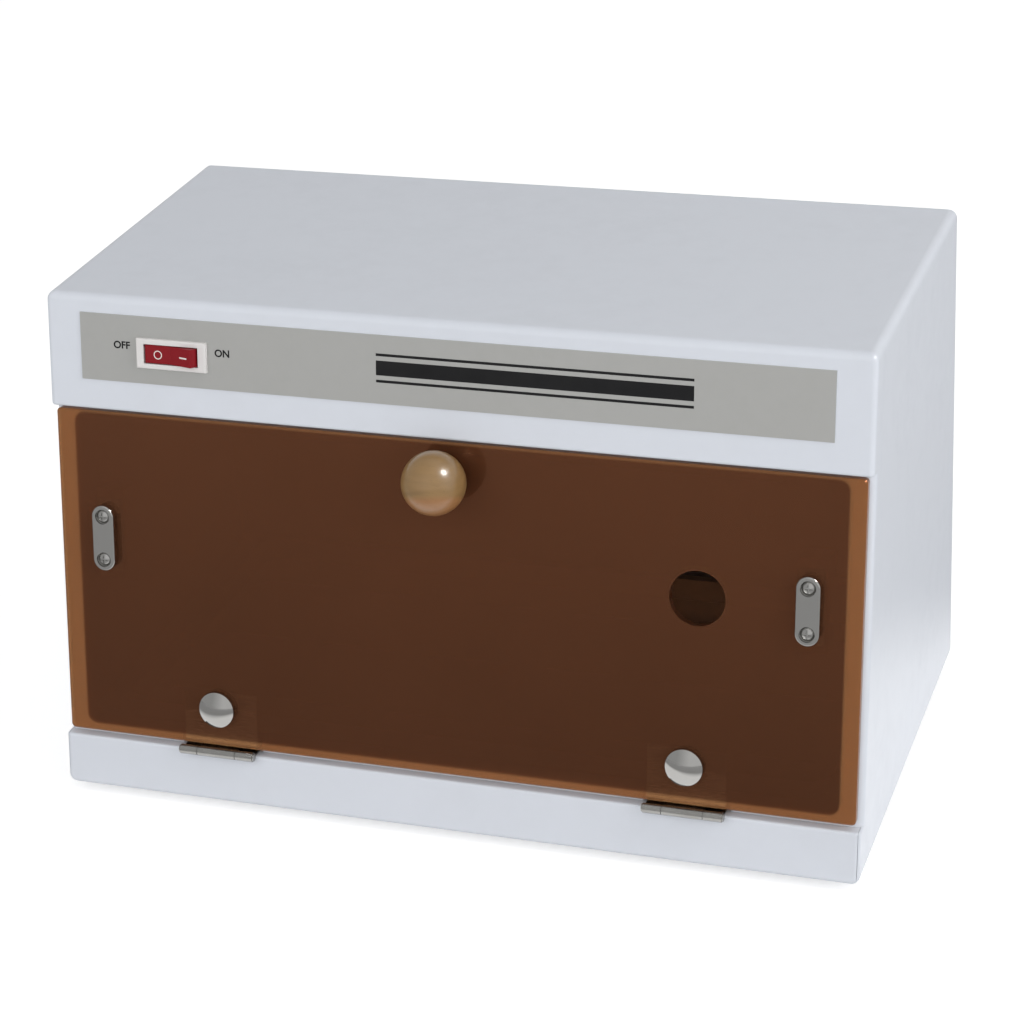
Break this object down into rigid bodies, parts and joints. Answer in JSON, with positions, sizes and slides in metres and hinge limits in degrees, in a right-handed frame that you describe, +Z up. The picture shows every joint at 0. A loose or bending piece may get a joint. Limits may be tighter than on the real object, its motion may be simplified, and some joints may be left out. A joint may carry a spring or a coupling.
{
  "type": "bench sterilizer cabinet",
  "caption": "Bench ultraviolet sterilizer: white sheet-steel cabinet with a leaning front, a drop-down amber acrylic door on butt hinges, a rocker switch, a lamp and a tray.",
  "frame": {"origin": "centre of the footprint, on the surface that the feet stand on", "axes": "+X to the right as seen from the front, +Y from the front to the back, +Z up"},
  "size_m": [0.38, 0.219, 0.238],
  "materials": {
    "amber_acrylic": "gloss",
    "ballast_steel": "satin",
    "black_plastic": "matt",
    "black_rubber": "matt",
    "bright_steel": "polished",
    "chrome": "polished",
    "galvanised": "satin",
    "grey_plastic": "matt",
    "grey_plate": "satin",
    "magnet_case": "matt",
    "mirror_aluminium": "polished",
    "red_plastic": "gloss",
    "screw_steel": "satin",
    "stainless": "brushed",
    "tube_glass": "gloss",
    "turned_wood": "satin",
    "white_plastic": "gloss",
    "white_sheet": "satin"
  },
  "bodies": {
    "cabinet": {"back_panel": "white_sheet", "ballast": "ballast_steel", "ballast_screws": "screw_steel", "bottom_plate": "white_sheet", "ceiling_panel": "galvanised", "door_magnet_left": "magnet_case", "door_magnet_right": "magnet_case", "door_sill": "white_sheet", "fascia_plate": "grey_plate", "foot_screws": "screw_steel", "hinge_fixed_leaf_left": "bright_steel", "hinge_fixed_leaf_right": "bright_steel", "hinge_pin_left": "bright_steel", "hinge_pin_right": "bright_steel", "hinge_screws": "screw_steel", "inlet_screws": "screw_steel", "lamp_cap_left": "mirror_aluminium", "lamp_cap_right": "mirror_aluminium", "lamp_holder_left": "grey_plastic", "lamp_holder_right": "grey_plastic", "lamp_reflector": "mirror_aluminium", "lamp_tube": "tube_glass", "outer_cover": "white_sheet", "panel_screws": "screw_steel", "plinth": "white_sheet", "power_inlet": "black_plastic", "rubber_foot_1": "black_rubber", "rubber_foot_2": "black_rubber", "rubber_foot_3": "black_rubber", "rubber_foot_4": "black_rubber", "starter": "magnet_case", "starter_base": "grey_plastic", "switch_housing": "white_plastic", "terminal_block": "grey_plastic", "tray": "stainless"},
    "door": {"catch_plate_left": "chrome", "catch_plate_right": "chrome", "catch_screws_left": "screw_steel", "catch_screws_right": "screw_steel", "door_knob": "turned_wood", "door_panel": "amber_acrylic", "hinge_bolt_left": "chrome", "hinge_bolt_right": "chrome", "hinge_door_leaf_left": "bright_steel", "hinge_door_leaf_right": "bright_steel", "hinge_nut_left": "screw_steel", "hinge_nut_right": "screw_steel", "knob_screw": "screw_steel", "knob_washer": "screw_steel", "strike_plate_left": "bright_steel", "strike_plate_right": "bright_steel"},
    "rocker": {"switch_rocker": "red_plastic"}
  },
  "joints": [
    {"name": "door_hinge", "type": "hinge", "parent": "cabinet", "child": "door", "pos_m": [0, -0.10728, 0.02966], "axis": [1, 0, 0], "range_deg": [0, 101]},
    {"name": "rocker_tip", "type": "hinge", "parent": "cabinet", "child": "rocker", "pos_m": [-0.128, -0.073, 0.21366], "axis": [0, 0.1644, 0.9864], "range_deg": [0, 18]}
  ]
}
